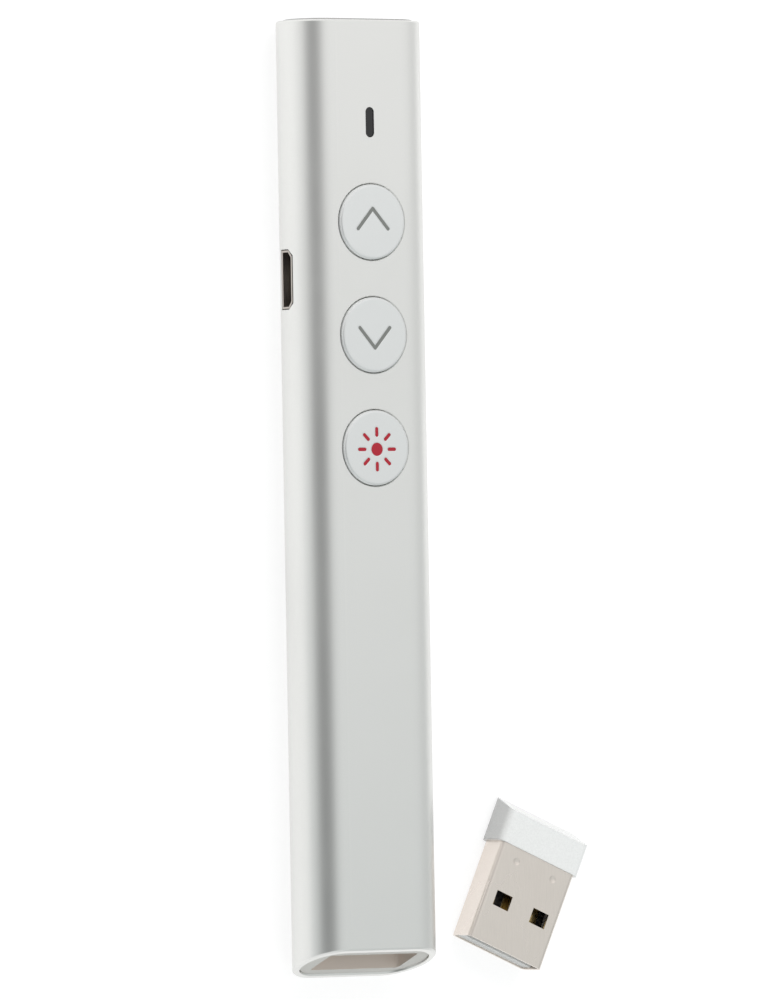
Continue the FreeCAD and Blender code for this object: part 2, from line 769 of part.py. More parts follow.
def make_nose():
    """The dark nose plate with its aperture, collar and two legs, and the clear window behind the aperture."""
    plate = inner_oval_bar(nose_gap, plate_back_y, nose_plate_thickness)
    front_y = plate_back_y + nose_plate_thickness
    plate = plate.makeFillet(nose_edge_round, edges_where(plate, lambda p, e: p.y > front_y - 1e-6))
    collar = rod(barrel_diameter + 2 * collar_wall, collar_length, 0, collar_back_y, middle_z)
    plate = plate.fuse(collar)
    for side in (-1, 1):
        plate = plate.fuse(block(leg_width, leg_length, leg_height, side * leg_spread / 2,
                                 plate_back_y - leg_length, middle_z - leg_height / 2))
    plate = plate.cut(rod(barrel_diameter + 2 * cradle_gap, collar_length, 0, collar_back_y, middle_z))
    plate = plate.cut(rod(window_diameter + 2 * nose_gap, window_thickness, 0, plate_back_y, middle_z))
    plate = plate.cut(rod(aperture_diameter, 2 * nose_plate_thickness, 0, plate_back_y, middle_z))
    flare = Part.makeCone(aperture_diameter / 2, aperture_diameter / 2 + aperture_flare, aperture_flare,
                          V(0, front_y - aperture_flare, middle_z), V(0, 1, 0))
    save("nose_plate", plate.cut(flare))
    save("laser_window", rod(window_diameter, window_thickness, 0, plate_back_y, middle_z))


def make_tail():
    """The tail insert with the receiver bay, its magnet and the two screws that hold it to the chassis."""
    length = chassis_tail_y - tail_y
    insert = inner_oval_bar(tail_gap, tail_y, length)
    insert = insert.common(behind_slant(tail_inset, body_length))
    head_length_with_slant = bay_shoulder_y - tail_y
    insert = insert.cut(rounded_bar(head_width + 2 * bay_gap, head_height + 2 * bay_gap, bay_mouth_corner,
                                    tail_y, head_length_with_slant, middle_z))
    insert = insert.cut(rounded_bar(plug_width + 2 * bay_gap, plug_height + 2 * bay_gap, bay_corner,
                                    tail_y, bay_end_y - tail_y, middle_z))
    pocket_depth = magnet_thickness + magnet_gap
    insert = insert.cut(block(magnet_width + 2 * magnet_gap, pocket_depth, magnet_height + 2 * magnet_gap, 0,
                              chassis_tail_y - pocket_depth, middle_z - magnet_height / 2 - magnet_gap))
    seat_y = bay_end_y + screw_head_height + 0.1
    screws = []
    for side in (-1, 1):
        x = side * tail_screw_spread / 2
        insert = insert.cut(rod(screw_head_diameter + 2 * board_hole_gap, seat_y - bay_end_y, x, bay_end_y,
                                middle_z))
        insert = insert.cut(rod(screw_shank_diameter + 2 * board_hole_gap, length, x, bay_end_y, middle_z))
        one = screw(screw_length)
        one.rotate(V(0, 0, 0), V(1, 0, 0), 90)
        one.translate(V(x, seat_y, middle_z))
        screws.append(one)
    save("tail_insert", insert)
    save("tail_screws", *screws)
    save("bay_magnet", block(magnet_width, magnet_thickness, magnet_height, 0,
                             chassis_tail_y - magnet_thickness, middle_z - magnet_height / 2))


def lay_beside(shape):
    """Turns a receiver piece, built along Y with its mouth at y = 0, and lays it beside the body."""
    placed = shape.copy()
    placed.translate(V(0, -(plug_length + head_length) / 2, 0))
    placed.rotate(V(0, 0, 0), V(0, 0, 1), receiver_turn)
    placed.translate(V(receiver_x, receiver_y, 0))
    return placed


def make_receiver():
    """The receiver: plated shell with windows and dimples, insulator, contacts, board and slanted head."""
    axis_z = head_height / 2
    shell_length = plug_length + plug_root
    shell = rounded_bar(plug_width, plug_height, plug_corner, 0, shell_length, axis_z)
    bore_width = plug_width - 2 * plug_sheet
    bore_height = plug_height - 2 * plug_sheet
    shell = shell.cut(rounded_bar(bore_width, bore_height, plug_corner - plug_sheet, -1, shell_length + 2, axis_z))
    dimple_radius = plug_dimple_diameter / 2
    dimple_ball = (dimple_radius ** 2 + plug_dimple_depth ** 2) / (2 * plug_dimple_depth)
    for side in (-1, 1):
        x = side * plug_window_spread / 2
        shell = shell.cut(block(plug_window_width, plug_window_length, 2 * head_height, x,
                                plug_window_from_mouth - plug_window_length / 2, -head_height / 2))
        for way in (-1, 1):
            ball_z = axis_z + way * (plug_height / 2 - plug_dimple_depth + dimple_ball)
            shell = shell.cut(Part.makeSphere(dimple_ball, V(x, plug_dimple_from_mouth, ball_z)))
    save("receiver_shell", lay_beside(shell))
    tongue_z = axis_z - bore_height / 2
    tongue = rounded_bar(bore_width, bore_height, plug_corner - plug_sheet, tongue_recess, tongue_length, axis_z)
    tongue = tongue.common(block(plug_width, plug_length, tongue_thickness, 0, 0, tongue_z))
    board_y = tongue_recess + tongue_lip
    board_z = tongue_z + tongue_thickness - receiver_board_thickness
    tongue = tongue.cut(block(plug_width, plug_length, tongue_thickness, 0, board_y, board_z))
    save("receiver_insulator", lay_beside(tongue))
    strips = []
    first_x = -(plug_contacts - 1) * plug_contact_pitch / 2
    for i in range(plug_contacts):
        strips.append(lay_beside(block(plug_contact_width, plug_contact_length, contact_sheet,
                                       first_x + i * plug_contact_pitch, board_y + plug_contact_inset,
                                       tongue_z + tongue_thickness)))
    save("receiver_contacts", *strips)
    board_length = shell_length + root_relief - board_gap - board_y
    save("receiver_board", lay_beside(block(receiver_board_width, board_length, receiver_board_thickness, 0,
                                            board_y, board_z)))
    chip_y = shell_length + root_relief - board_gap - receiver_chip_length - plug_contact_inset
    save("receiver_chip", lay_beside(block(radio_side, receiver_chip_length, radio_height, 0, chip_y,
                                           board_z + receiver_board_thickness)))
    make_receiver_head(axis_z)


def make_receiver_head(axis_z):
    """The pale plastic head: a cup over the shell's root whose closed end is cut at the tail's slant."""
    slant_extra = tail_slope * head_height
    full_length = head_length + slant_extra
    head = rounded_bar(head_width, head_height, head_corner, plug_length, full_length, axis_z)
    top_y = plug_length + head_length
    far = plug_length + 2 * full_length
    corners = [V(0, plug_length - 1, -1), V(0, top_y + slant_extra + tail_slope, -1),
               V(0, top_y - tail_slope, head_height + 1), V(0, plug_length - 1, head_height + 1)]
    keep = Part.Face(Part.makePolygon(corners + corners[:1]))
    keep.translate(V(-head_width, 0, 0))
    head = head.common(keep.extrude(V(2 * head_width, 0, 0)))
    socket = rounded_bar(plug_width, plug_height, plug_corner, plug_length - 1, plug_root + 1, axis_z)
    head = head.cut(socket)
    head = head.cut(block(plug_width - 2 * head_wall, root_relief, plug_height - 2 * head_wall, 0,
                          plug_length + plug_root, axis_z - plug_height / 2 + head_wall))
    save("receiver_head", lay_beside(head))


os.makedirs("parts", exist_ok=True)
make_body_tube()
make_buttons()
make_switches()
make_indicator()
make_charge_socket()
make_main_board()
make_board_parts()
make_chassis()
make_battery()
make_laser()
make_nose()
make_tail()
make_receiver()
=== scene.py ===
# %% [markdown]
# # A presentation clicker and its receiver plug
# This lesson dresses a measured model of a slim aluminium clicker. The measured model already
# holds every solid at its real size, and each solid belongs to a body that can move: the housing,
# three buttons and the receiver. Here each piece gets the finish of the real thing, and the object
# gets a pale studio and a camera. Lengths are metres: +Y points out of the laser end and +Z is
# the button side.

# %% Load the measured model
import math

import bmesh
import bpy
from mathutils import Matrix, Vector


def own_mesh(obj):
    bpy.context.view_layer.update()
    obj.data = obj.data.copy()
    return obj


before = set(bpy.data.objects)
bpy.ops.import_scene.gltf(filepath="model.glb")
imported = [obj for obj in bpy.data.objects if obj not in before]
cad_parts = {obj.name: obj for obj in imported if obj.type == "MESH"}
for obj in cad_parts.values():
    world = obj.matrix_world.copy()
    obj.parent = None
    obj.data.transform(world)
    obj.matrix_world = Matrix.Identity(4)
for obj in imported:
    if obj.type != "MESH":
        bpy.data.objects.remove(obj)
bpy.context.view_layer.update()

millimetre = 0.001
print("nodes:", len(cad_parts))

# %% [markdown]
# ## The camera
# A product picture like this one is taken from far away with a long lens, so parallel edges stay
# parallel. The camera looks down on the clicker from its left side. Three angles say how: the yaw
# about the body's long axis, a very small pitch towards the tail, and a roll of one degree. From
# them come three unit vectors: towards the camera, to the picture's right and up. The lens then
# follows from how many pixels one metre should fill.

# %% Camera at the picture's angle
picture_width = 778
picture_height = 1000
pixels_per_metre = 7776.0
middle_in_picture = (356.0, 499.4)
view_yaw = math.radians(31.9)
view_pitch = math.radians(-0.97)
view_roll = math.radians(1.02)
view_distance = 1.6
sensor_width = 36.0
farthest_seen = 20.0
body_middle = Vector((0, 0, 5 * millimetre))

towards_camera = Vector((-math.sin(view_yaw) * math.cos(view_pitch), math.sin(view_pitch),
                         math.cos(view_yaw) * math.cos(view_pitch)))
level_right = Vector((0, 1, 0)).cross(towards_camera).normalized()
level_up = towards_camera.cross(level_right)
picture_right = level_right * math.cos(view_roll) - level_up * math.sin(view_roll)
picture_up = level_right * math.sin(view_roll) + level_up * math.cos(view_roll)

across = (picture_width / 2 - middle_in_picture[0]) / pixels_per_metre
upward = (middle_in_picture[1] - picture_height / 2) / pixels_per_metre
camera_place = body_middle + towards_camera * view_distance + picture_right * across + picture_up * upward

camera_data = bpy.data.cameras.new("long_lens")
camera_data.sensor_fit = "HORIZONTAL"
camera_data.sensor_width = sensor_width
camera_data.lens = sensor_width * view_distance * pixels_per_metre / picture_width
camera_data.clip_end = farthest_seen
camera = bpy.data.objects.new("long_lens", camera_data)
camera.matrix_world = Matrix((
    (picture_right.x, picture_up.x, towards_camera.x, camera_place.x),
    (picture_right.y, picture_up.y, towards_camera.y, camera_place.y),
    (picture_right.z, picture_up.z, towards_camera.z, camera_place.z),
    (0, 0, 0, 1)))
bpy.context.scene.collection.objects.link(camera)
bpy.context.scene.camera = camera
bpy.context.scene.view_settings.view_transform = "Standard"
print("lens", round(camera_data.lens), "mm from", view_distance, "m away")

# %% [markdown]
# ## Small tools for node trees
# A material in Blender is a graph of nodes. Writing such a graph by hand repeats three moves: add
# a node, set its fields and link two sockets. Three short helpers keep the recipes below readable.
# `finish` starts a material with its Principled BSDF, and plain numbers are set right on that
# shader's own sockets.

# %% Node helpers
def add(tree, kind, **fields):
    """Adds a node of the given kind and sets its fields."""
    node = tree.nodes.new("ShaderNode" + kind)
    for name, value in fields.items():
        setattr(node, name, value)
    return node


def feed(tree, socket, source):
    """Links a source socket to an input, or sets the input to a plain value."""
    if isinstance(source, bpy.types.NodeSocket):
        tree.links.new(source, socket)
    else:
        socket.default_value = source
    return socket


def combine(tree, operation, first, second=0.0):
    """A Math node: the two values joined by the operation."""
    node = add(tree, "Math", operation=operation)
    feed(tree, node.inputs[0], first)
    feed(tree, node.inputs[1], second)
    return node.outputs[0]


def finish(name, **values):
    """A new material, its tree and its Principled BSDF with plain values on its own sockets."""
    material = bpy.data.materials.new(name)
    material.use_nodes = True
    tree = material.node_tree
    shader = tree.nodes["Principled BSDF"]
    for socket, value in values.items():
        shader.inputs[socket.replace("_", " ")].default_value = value
    return material, tree, shader


print("helpers ready")

# %% [markdown]
# ## Shared surface effects as node groups
# Real surfaces are never perfectly even. Four small effects come back in almost every finish here,
# so each is a node group with named inputs and outputs, built once:
#
# - `fine grain` is the tiny relief of bead-blasted metal or moulded plastic.
# - `drawn lines` is a grain stretched along one axis, as rolled sheet or a turned barrel has.
# - `handling` is a large soft mask for the faint smears that fingers leave.
# - `soft edge` rounds the shading of sharp edges a little and gives a mask of where they are.
#
# Every group works in the object's own coordinates, so the pattern keeps its real size and moves
# with the piece.

# %% Fine grain and drawn lines
def effect(name, inputs, outputs):
    """An empty node group with float or vector inputs and the named outputs."""
    group = bpy.data.node_groups.new(name, "ShaderNodeTree")
    for label, value in inputs.items():
        kind = "NodeSocketVector" if isinstance(value, tuple) else "NodeSocketFloat"
        socket = group.interface.new_socket(name=label, in_out="INPUT", socket_type=kind)
        socket.default_value = value
    for label, kind in outputs.items():
        group.interface.new_socket(name=label, in_out="OUTPUT", socket_type="NodeSocket" + kind)
    return group, add_end(group, "NodeGroupInput"), add_end(group, "NodeGroupOutput")


def add_end(group, kind):
    """The node that stands for the group's inputs or outputs."""
    return group.nodes.new(kind)


def noise(tree, vector, scale, detail=2.0, roughness=0.5):
    """A noise texture's value on the given coordinates."""
    node = add(tree, "TexNoise")
    feed(tree, node.inputs["Vector"], vector)
    feed(tree, node.inputs["Scale"], scale)
    node.inputs["Detail"].default_value = detail
    node.inputs["Roughness"].default_value = roughness
    return node.outputs["Fac"]


def span(tree, value, low, high, start, end):
    """A value moved from the range low to high onto start to end, held at both ends."""
    node = add(tree, "MapRange")
    for socket, source in zip(("Value", "From Min", "From Max", "To Min", "To Max"),
                              (value, low, high, start, end)):
        feed(tree, node.inputs[socket], source)
    return node.outputs["Result"]


fine_grain, given, result = effect("fine grain", {"Grains per metre": 9000.0},
                                   {"Height": "Float", "Fleck": "Float"})
place = add(fine_grain, "TexCoord").outputs["Object"]
small = noise(fine_grain, place, given.outputs["Grains per metre"], 3.0, 0.6)
pits = add(fine_grain, "TexVoronoi", feature="F1")
feed(fine_grain, pits.inputs["Vector"], place)
feed(fine_grain, pits.inputs["Scale"], given.outputs["Grains per metre"])
feed(fine_grain, result.inputs["Height"], combine(fine_grain, "ADD", small, pits.outputs["Distance"]))
feed(fine_grain, result.inputs["Fleck"], span(fine_grain, small, 0.35, 0.65, 0.0, 1.0))

drawn_lines, given, result = effect("drawn lines", {"Stretch": (1.0, 0.02, 1.0), "Lines per metre": 9000.0},
                                    {"Height": "Float", "Streak": "Float"})
place = add(drawn_lines, "TexCoord").outputs["Object"]
stretched = add(drawn_lines, "VectorMath", operation="MULTIPLY")
feed(drawn_lines, stretched.inputs[0], place)
feed(drawn_lines, stretched.inputs[1], given.outputs["Stretch"])
thin = noise(drawn_lines, stretched.outputs[0], given.outputs["Lines per metre"], 4.0, 0.7)
feed(drawn_lines, result.inputs["Height"], thin)
feed(drawn_lines, result.inputs["Streak"], span(drawn_lines, thin, 0.3, 0.7, 0.0, 1.0))
print("groups:", fine_grain.name, "and", drawn_lines.name)

# %% [markdown]
# The handling mask multiplies two noises of different size, because fingers smear in broad
# patches that break up into small ones. The soft edge uses the Bevel node: it averages the normal
# over a small radius, so a knife-sharp solid catches a thin line of light as a real one does.
# Where that averaged normal leans away from the face's own, there is an edge.

# %% Handling marks and soft edges
handling, given, result = effect("handling", {"Patches per metre": 60.0}, {"Mark": "Float"})
place = add(handling, "TexCoord").outputs["Object"]
broad = noise(handling, place, given.outputs["Patches per metre"], 2.0)
patches_in_patches = 9.0
closer = combine(handling, "MULTIPLY", given.outputs["Patches per metre"], patches_in_patches)
close = noise(handling, place, closer, 4.0, 0.65)
both = combine(handling, "MULTIPLY", span(handling, broad, 0.4, 0.7, 0.0, 1.0), close)
feed(handling, result.inputs["Mark"], both)

soft_edge, given, result = effect("soft edge", {"Radius": 0.0001}, {"Normal": "Vector", "Edge": "Float"})
rounded = add(soft_edge, "Bevel", samples=6)
feed(soft_edge, rounded.inputs["Radius"], given.outputs["Radius"])
flat_normal = add(soft_edge, "NewGeometry").outputs["Normal"]
agree = add(soft_edge, "VectorMath", operation="DOT_PRODUCT")
feed(soft_edge, agree.inputs[0], rounded.outputs["Normal"])
feed(soft_edge, agree.inputs[1], flat_normal)
feed(soft_edge, result.inputs["Normal"], rounded.outputs["Normal"])
feed(soft_edge, result.inputs["Edge"], span(soft_edge, agree.outputs["Value"], 0.99, 0.75, 0.0, 1.0))
print("groups:", handling.name, "and", soft_edge.name)

# %% [markdown]
# ## Placing an effect in a material
# A material places the groups it needs, mixes a slightly darker or lighter colour with their masks,
# lets the marks change the roughness, and sends the relief through one Bump node into Normal. The
# bump distance is the real depth of the relief in metres.

# %% Helpers that dress a shader
def use(tree, group, **values):
    """Places an effect group in a material with its own values."""
    node = tree.nodes.new("ShaderNodeGroup")
    node.node_tree = group
    for label, value in values.items():
        node.inputs[label.replace("_", " ")].default_value = value
    return node


def blend_colour(tree, mask, first, second):
    """The first colour where the mask is 0 and the second where it is 1."""
    node = add(tree, "Mix", data_type="RGBA")
    feed(tree, node.inputs["Factor"], mask)
    feed(tree, node.inputs["A"], first)
    feed(tree, node.inputs["B"], second)
    return node.outputs["Result"]


def shade(colour, factor):
    """A colour made darker or lighter."""
    return tuple(min(channel * factor, 1.0) for channel in colour[:3]) + (1.0,)


def relief(tree, shader, height, depth, radius):
    """Bumps the surface by the height field over a softened edge."""
    edge = use(tree, soft_edge, Radius=radius)
    bump = add(tree, "Bump")
    bump.inputs["Distance"].default_value = depth
    bump.inputs["Strength"].default_value = 1.0
    feed(tree, bump.inputs["Height"], height)
    feed(tree, bump.inputs["Normal"], edge.outputs["Normal"])
    feed(tree, shader.inputs["Normal"], bump.outputs["Normal"])
    return edge.outputs["Edge"]


def roughen(tree, shader, marks, roughness, added):
    """Makes the shader rougher where the handling marks are full."""
    marked = span(tree, marks.outputs["Mark"], 0.0, 0.6, roughness, roughness + added)
    feed(tree, shader.inputs["Roughness"], marked)


def second_colour(tree, shader, mask, colour):
    """Gives the shader's finished colour another one where the mask is 1."""
    finished = shader.inputs["Base Color"].links[0].from_socket
    feed(tree, shader.inputs["Base Color"], blend_colour(tree, mask, finished, colour))


def own_normal(tree, axis):
    """How far the surface faces along one of the object's own axes."""
    parts = add(tree, "SeparateXYZ")
    feed(tree, parts.inputs[0], add(tree, "TexCoord").outputs["Normal"])
    return parts.outputs[axis]


print("dressing helpers ready")

# %% [markdown]
# ## Satin anodised aluminium
# The tube is extruded aluminium, bead blasted and anodised. It is a metal, so its colour lives in
# its reflections: a broad soft highlight, and a darker band where the rounded side mirrors the dim
# part of the room on the camera's side. Metallic is 1 and the roughness is middling. A grain is
# about a tenth of a millimetre wide, and the cut edges are a little brighter than the faces. The
# button caps get a metal paint on their faces and a white colour that is not metal on their sides:
# painted lightening of the shaded gap around them, so light bounces there and the ring reads grey.

# %% Body metal and painted metal
def satin_metal(name, colour, roughness, grains, depth, edge_radius, edge_gain=1.1):
    """A blasted or painted metal: fleck in the colour, marks in the roughness, fine relief."""
    material, tree, shader = finish(name, Metallic=1.0)
    grain = use(tree, fine_grain, Grains_per_metre=grains)
    marks = use(tree, handling, Patches_per_metre=45.0)
    edge = relief(tree, shader, grain.outputs["Height"], depth, edge_radius)
    face = blend_colour(tree, grain.outputs["Fleck"], shade(colour, 0.985), shade(colour, 1.012))
    smear = combine(tree, "MULTIPLY", marks.outputs["Mark"], 0.25)
    smeared = blend_colour(tree, smear, face, shade(colour, 0.95))
    feed(tree, shader.inputs["Base Color"], blend_colour(tree, edge, smeared, shade(colour, edge_gain)))
    roughen(tree, shader, marks, roughness, 0.05)
    return material


anodised = satin_metal("anodised aluminium", (0.81, 0.81, 0.79), 0.36, 9000.0, 2e-6, 0.00008)
cap_paint = satin_metal("satin silver cap", (0.80, 0.812, 0.806), 0.38, 12000.0, 1.5e-6, 0.00030,
                        edge_gain=1.0)
cap_tree = cap_paint.node_tree
cap_shader = cap_tree.nodes["Principled BSDF"]
# Painted lightening of the shaded gap around each cap: the cap's sides are white and not metal, so the ring
# there reads grey and not black.
gap_lightening_white = (0.86, 0.87, 0.865, 1)
paint_metallic = 0.95
gap_lightening_side = span(cap_tree, own_normal(cap_tree, "Z"), 0.35, 0.65, 1.0, 0.0)
painted_metallic = span(cap_tree, gap_lightening_side, 0.0, 1.0, paint_metallic, 0.0)
second_colour(cap_tree, cap_shader, gap_lightening_side, gap_lightening_white)
feed(cap_tree, cap_shader.inputs["Metallic"], painted_metallic)
print("made:", anodised.name, "and", cap_paint.name)

# %% [markdown]
# ## Sheet steel and small metals
# The plug and the charging socket are folded from thin plated sheet, which keeps faint lines from
# rolling. Turned and drawn pieces, such as the laser barrel or a screw, show the same lines round
# them. One recipe serves them all, with its own colour and line direction. The nose plate is
# polished trim, so its lines are very shallow and its roughness is low.

# %% Plated and drawn metals
def drawn_metal(name, colour, roughness, stretch, lines=14000.0, depth=1.2e-6, edge_radius=0.00006):
    """A plated or turned metal with fine lines along the axis whose stretch is small."""
    material, tree, shader = finish(name, Metallic=1.0)
    streaks = use(tree, drawn_lines, Stretch=stretch, Lines_per_metre=lines)
    marks = use(tree, handling, Patches_per_metre=140.0)
    edge = relief(tree, shader, streaks.outputs["Height"], depth, edge_radius)
    face = blend_colour(tree, streaks.outputs["Streak"], shade(colour, 0.95), shade(colour, 1.04))
    feed(tree, shader.inputs["Base Color"], blend_colour(tree, edge, face, shade(colour, 1.15)))
    roughen(tree, shader, marks, roughness, 0.12)
    return material


along_body = (1.0, 0.03, 1.0)
round_axis = (0.3, 1.0, 0.3)
plug_plate = drawn_metal("plug nickel", (0.82, 0.75, 0.69), 0.27, along_body)
socket_plate = drawn_metal("socket tin", (0.52, 0.48, 0.44), 0.34, (0.05, 1.0, 1.0))
bright_steel = drawn_metal("bright steel", (0.60, 0.60, 0.60), 0.28, round_axis)
zinc = drawn_metal("zinc plate", (0.62, 0.63, 0.65), 0.33, round_axis)
turned_brass = drawn_metal("turned brass", (0.72, 0.56, 0.28), 0.27, round_axis)
contact_gold = drawn_metal("contact gold", (0.86, 0.66, 0.30), 0.22, along_body)
foil = drawn_metal("pouch foil", (0.62, 0.62, 0.64), 0.38, (1.0, 0.2, 1.0), 3000.0, 6e-6)
across_body = (0.03, 1.0, 1.0)
nose_chrome = drawn_metal("nose dark chrome", (0.44, 0.44, 0.435), 0.16, across_body, 9000.0, 3e-7, 0.00012)
print("made eight plated or turned metals")

# %% [markdown]
# ## Moulded plastics
# Plastic is not a metal: its colour is in the body of the material, and a clear reflection lies
# over it. The receiver's head is glossy, the symbols are filled paint with a dry surface, and the
# tail insert has the fine erosion texture of its mould and warmer walls inside its bay. Each is the
# same recipe with another grain, depth and roughness.

# %% Plastics
def moulded(name, colour, roughness, grains=6000.0, depth=3e-6, edge_radius=0.00008, coat=0.0):
    """A moulded plastic: slight colour drift, mould grain, and marks in its roughness."""
    material, tree, shader = finish(name, Coat_Weight=coat, Coat_Roughness=0.06, IOR=1.49)
    grain = use(tree, fine_grain, Grains_per_metre=grains)
    marks = use(tree, handling, Patches_per_metre=80.0)
    edge = relief(tree, shader, grain.outputs["Height"], depth, edge_radius)
    face = blend_colour(tree, grain.outputs["Fleck"], shade(colour, 0.96), shade(colour, 1.03))
    feed(tree, shader.inputs["Base Color"], blend_colour(tree, edge, face, shade(colour, 1.12)))
    roughen(tree, shader, marks, roughness, 0.1)
    return material


symbol_grey = moulded("symbol grey", (0.20, 0.207, 0.194), 0.5, 14000.0, 1e-6, 0.00003)
symbol_red = moulded("symbol red", (0.42, 0.004, 0.020), 0.42, 14000.0, 1e-6, 0.00003)
insert_grey = moulded("tail insert grey", (0.66, 0.645, 0.61), 0.46, 7000.0, 4e-6, 0.0001)
insert_tree = insert_grey.node_tree
insert_shader = insert_tree.nodes["Principled BSDF"]
lengthways = combine(insert_tree, "ABSOLUTE", own_normal(insert_tree, "Y"))
bay_tan = (0.72, 0.63, 0.56, 1)
bay_wall = span(insert_tree, lengthways, 0.3, 0.5, 1.0, 0.0)
second_colour(insert_tree, insert_shader, bay_wall, bay_tan)
inner_black = moulded("inner black", (0.03, 0.03, 0.032), 0.5, 5000.0, 3e-6)
tongue_grey = moulded("tongue grey", (0.20, 0.20, 0.185), 0.5, 8000.0, 1e-6)
strip_grey = moulded("strip grey", (0.40, 0.40, 0.40), 0.55, 5000.0, 3e-6)
insulator_white = moulded("insulator white", (0.86, 0.86, 0.85), 0.38, 6000.0, 1.5e-6)
head_white = moulded("receiver head white", (0.90, 0.90, 0.89), 0.20, 5000.0, 6e-7, 0.0002, 0.35)
smoked = moulded("smoked lens", (0.012, 0.012, 0.013), 0.16, 4000.0, 2e-7, 0.00006)
lamp_resin = moulded("lamp resin", (0.82, 0.78, 0.55), 0.25, 6000.0, 1e-6)
chip_epoxy = moulded("chip epoxy", (0.028, 0.028, 0.03), 0.55, 12000.0, 2e-6)
ceramic = moulded("ceramic tan", (0.42, 0.33, 0.22), 0.45, 12000.0, 2e-6)
red_sheath = moulded("red sheath", (0.55, 0.03, 0.03), 0.4, 8000.0, 1e-6)
black_sheath = moulded("black sheath", (0.02, 0.02, 0.02), 0.4, 8000.0, 1e-6)
print("materials so far, with the frame's own:", len(bpy.data.materials))

# %% [markdown]
# ## Circuit boards
# Solder mask is a thin lacquer over copper. Tracks show through it as slightly lighter lines, so
# the mask's colour follows a brick-like pattern of straight runs, and the same pattern lifts the
# lacquer a little.

# %% Boards
def solder_mask(name, colour, track_colour):
    """A lacquered board whose copper tracks show through as lighter, raised runs."""
    material, tree, shader = finish(name, Coat_Weight=0.4, Coat_Roughness=0.12, Roughness=0.35)
    coordinates = add(tree, "TexCoord").outputs["Object"]
    runs = add(tree, "TexBrick")
    feed(tree, runs.inputs["Vector"], coordinates)
    runs.inputs["Scale"].default_value = 420.0
    runs.inputs["Mortar Size"].default_value = 0.09
    runs.inputs["Mortar Smooth"].default_value = 0.3
    relief(tree, shader, runs.outputs["Fac"], 1.5e-5, 0.00005)
    feed(tree, shader.inputs["Base Color"], blend_colour(tree, runs.outputs["Fac"], colour, track_colour))
    return material


green_mask = solder_mask("green mask", (0.012, 0.11, 0.055, 1), (0.03, 0.20, 0.10, 1))
black_mask = solder_mask("black mask", (0.012, 0.012, 0.013, 1), (0.03, 0.03, 0.028, 1))
print("made:", green_mask.name, "and", black_mask.name)

# %% [markdown]
# ## Clear pieces
# The window behind the laser's aperture and the small lens are clear. Transmission makes a
# Principled BSDF clear: both it and Metallic stay plain numbers, and only the surface's relief and
# roughness vary.

# %% Clear plastic and glass
def clear(name, tint, ior):
    """A clear moulding with a faint waviness and fine marks."""
    material, tree, shader = finish(name, Transmission_Weight=1.0, Metallic=0.0, IOR=ior)
    grain = use(tree, fine_grain, Grains_per_metre=900.0)
    marks = use(tree, handling, Patches_per_metre=300.0)
    edge = relief(tree, shader, grain.outputs["Height"], 2e-7, 0.00005)
    feed(tree, shader.inputs["Base Color"], blend_colour(tree, edge, tint, (1, 1, 1, 1)))
    roughen(tree, shader, marks, 0.02, 0.06)
    return material


window_clear = clear("laser window clear", (0.90, 0.93, 0.97, 1), 1.49)
lens_clear = clear("laser lens clear", (0.94, 0.96, 1.0, 1), 1.6)
print("made:", window_clear.name, "and", lens_clear.name)

# %% [markdown]
# ## Dressing the measured pieces
# The solids already have their true shape, so they stay as they are and only get a finish: each
# node's material slots are filled by name. Writing the list by finish keeps it short, and a check
# at the end says which node was forgotten.

# %% One finish for each node
switch_names = ("up", "down", "laser")
finishes = {
    anodised: ["body_tube"],
    cap_paint: ["button_" + n for n in switch_names],
    symbol_grey: ["up_chevron", "down_chevron"],
    symbol_red: ["laser_symbol"],
    nose_chrome: ["nose_plate"],
    smoked: ["indicator_lens"],
    lamp_resin: ["indicator_lamp"],
    insert_grey: ["tail_insert"],
    tongue_grey: ["charge_socket_tongue"],
    inner_black: ["chassis"] + ["switch_base_" + n for n in switch_names],
    strip_grey: ["lift_strip"],
    insulator_white: ["receiver_insulator"] + ["switch_plunger_" + n for n in switch_names],
    head_white: ["receiver_head"],
    plug_plate: ["receiver_shell"],
    socket_plate: ["charge_socket_shell"] + ["switch_cover_" + n for n in switch_names],
    bright_steel: ["bay_magnet", "radio_crystal"] + ["switch_dome_" + n for n in switch_names],
    zinc: ["board_screws", "tail_screws"],
    turned_brass: ["laser_barrel", "laser_lens_ring", "laser_spacer"],
    contact_gold: ["receiver_contacts", "charge_socket_contacts", "switch_terminals", "board_antenna",
                   "laser_diode"],
    foil: ["battery_cell"],
    chip_epoxy: ["radio_chip", "charger_chip", "receiver_chip"],
    ceramic: ["board_passives"],
    green_mask: ["main_board", "laser_driver_board"],
    black_mask: ["receiver_board"],
    red_sheath: ["battery_lead_red", "laser_lead_red"],
    black_sheath: ["battery_lead_black", "laser_lead_black"],
    window_clear: ["laser_window"],
    lens_clear: ["laser_lens"],
}
dressed = set()
for material, names in finishes.items():
    for name in names:
        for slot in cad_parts[name].material_slots:
            slot.material = material
        dressed.add(name)
print("dressed", len(dressed), "nodes; forgotten:", sorted(set(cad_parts) - dressed))

# %% [markdown]
# Each snap dome gives way under its plunger. Here each dome only gets a mesh of its own.

# %% Snap domes
for name in switch_names:
    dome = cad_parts["switch_dome_" + name]
    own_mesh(dome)

# %% [markdown]
# ## The floor
# The picture has a plain white ground with only a faint shadow. The floor is a real grey surface
# that takes the shadow and throws little light back up. Where the camera looks at it, or a shiny
# piece mirrors it, an even light is added, so that it reads as white. Light Path tells these rays
# apart. No light is added on the object itself.

